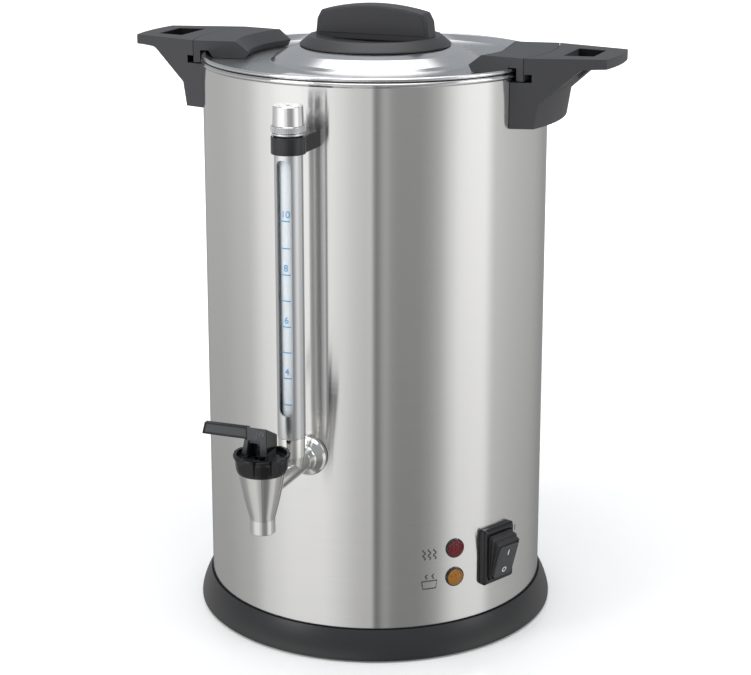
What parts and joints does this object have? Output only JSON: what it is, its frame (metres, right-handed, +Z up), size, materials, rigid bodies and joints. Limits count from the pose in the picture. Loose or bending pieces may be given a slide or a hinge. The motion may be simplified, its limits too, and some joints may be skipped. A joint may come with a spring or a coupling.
{
  "type": "hot drinks boiler",
  "caption": "Upright electric hot-drinks boiler: round steel tank, draw-off tap with sight gauge, lever valve, rocker switch, lamps, side handles and lift-off lid.",
  "frame": {"origin": "centre of the round base, on the surface it stands on, 2.2 mm under the bottom plate", "axes": "+Z up the tank; the tap and sight gauge face -Y; the two handles lie along X"},
  "size_m": [0.3794, 0.3688, 0.47],
  "materials": {
    "brushed_steel": "satin, fine grain round the tank",
    "plain_steel": "mill finish",
    "polished_metal": "polished",
    "tap_metal": "satin",
    "fastener_steel": "plain",
    "aluminium": "satin anodised",
    "charcoal_plastic": "fine matte texture",
    "black_plastic": "gloss",
    "rubber": "matte",
    "silicone": "matte, translucent",
    "ceramic": "unglazed",
    "wire_cover": "smooth sleeve",
    "red_lens": "clear prismatic lens",
    "amber_lens": "clear prismatic lens",
    "clear_tube": "clear"
  },
  "bodies": {
    "root": {"base_ring": "charcoal_plastic", "bottom_plate": "plain_steel", "foot_1": "rubber", "foot_2": "rubber", "foot_3": "rubber", "foot_4": "rubber", "base_screw_1": "fastener_steel", "base_screw_2": "fastener_steel", "base_screw_3": "fastener_steel", "base_screw_4": "fastener_steel", "body_shell": "brushed_steel", "tank_floor": "plain_steel", "heater_plate": "aluminium", "heating_element": "plain_steel", "boil_thermostat": "ceramic", "warm_thermostat": "ceramic", "thermal_cutout": "black_plastic", "terminal_block": "ceramic", "switch_lead": "wire_cover", "element_lead": "wire_cover", "mains_inlet": "black_plastic", "handle_right": "charcoal_plastic", "handle_screw_right_lower": "fastener_steel", "handle_screw_right_upper": "fastener_steel", "handle_left": "charcoal_plastic", "handle_screw_left_lower": "fastener_steel", "handle_screw_left_upper": "fastener_steel", "lamp_heating_bezel": "black_plastic", "lamp_heating": "red_lens", "lamp_keep_warm_bezel": "black_plastic", "lamp_keep_warm": "amber_lens", "switch_frame": "black_plastic", "switch_boot": "rubber", "gauge_shield": "aluminium", "gauge_glass": "clear_tube", "gauge_seal_lower": "silicone", "gauge_seal_upper": "silicone", "gauge_bracket": "black_plastic", "gauge_bracket_screw": "fastener_steel", "tap_body": "tap_metal", "tap_washer": "silicone", "tap_tank_nut": "fastener_steel", "tap_bonnet_nut": "black_plastic", "tap_diaphragm": "silicone", "valve_spring": "fastener_steel"},
    "lid_seal": {"lid_gasket": "silicone"},
    "lid": {"lid_shell": "polished_metal", "lid_knob": "charcoal_plastic", "knob_washer": "rubber", "knob_screw": "fastener_steel", "lid_ear_right": "charcoal_plastic", "ear_screw_right": "fastener_steel", "lid_ear_left": "charcoal_plastic", "ear_screw_left": "fastener_steel"},
    "valve": {"valve_stem": "black_plastic", "valve_plug": "silicone", "lever_pin": "fastener_steel"},
    "lever": {"tap_lever": "black_plastic"},
    "rocker": {"switch_rocker": "black_plastic"},
    "gauge_top": {"gauge_cap": "polished_metal"}
  },
  "joints": [
    {"name": "lid_lift", "type": "slide", "parent": "root", "child": "lid_seal", "axis": [0, 0, 1], "range_m": [0, 0.15]},
    {"name": "lid_turn", "type": "hinge", "parent": "lid_seal", "child": "lid", "pos_m": [0, 0, 0.43], "axis": [0, 0, 1], "range_deg": [0, 40]},
    {"name": "stem_lift", "type": "slide", "parent": "root", "child": "valve", "axis": [0, 0, 1], "range_m": [0, 0.0055], "deforming": ["valve_spring"]},
    {"name": "tap_lever_tilt", "type": "hinge", "parent": "valve", "child": "lever", "pos_m": [0, -0.21, 0.1968], "axis": [0, -1, 0], "range_deg": [0, 20], "stiffness_Nm_per_rad": 0.288, "springref_deg": -14.78},
    {"name": "rocker_tilt", "type": "hinge", "parent": "root", "child": "rocker", "pos_m": [0.11829, -0.05391, 0.0695], "axis": [-0.4147, -0.91, 0], "range_deg": [0, 30], "deforming": ["switch_boot"]},
    {"name": "gauge_cap_lift", "type": "slide", "parent": "root", "child": "gauge_top", "axis": [0, 0, 1], "range_m": [0, 0.03]}
  ],
  "couplings": [
    {"joint": "stem_lift", "follows": "tap_lever_tilt", "m_per_rad": 0.0155}
  ]
}
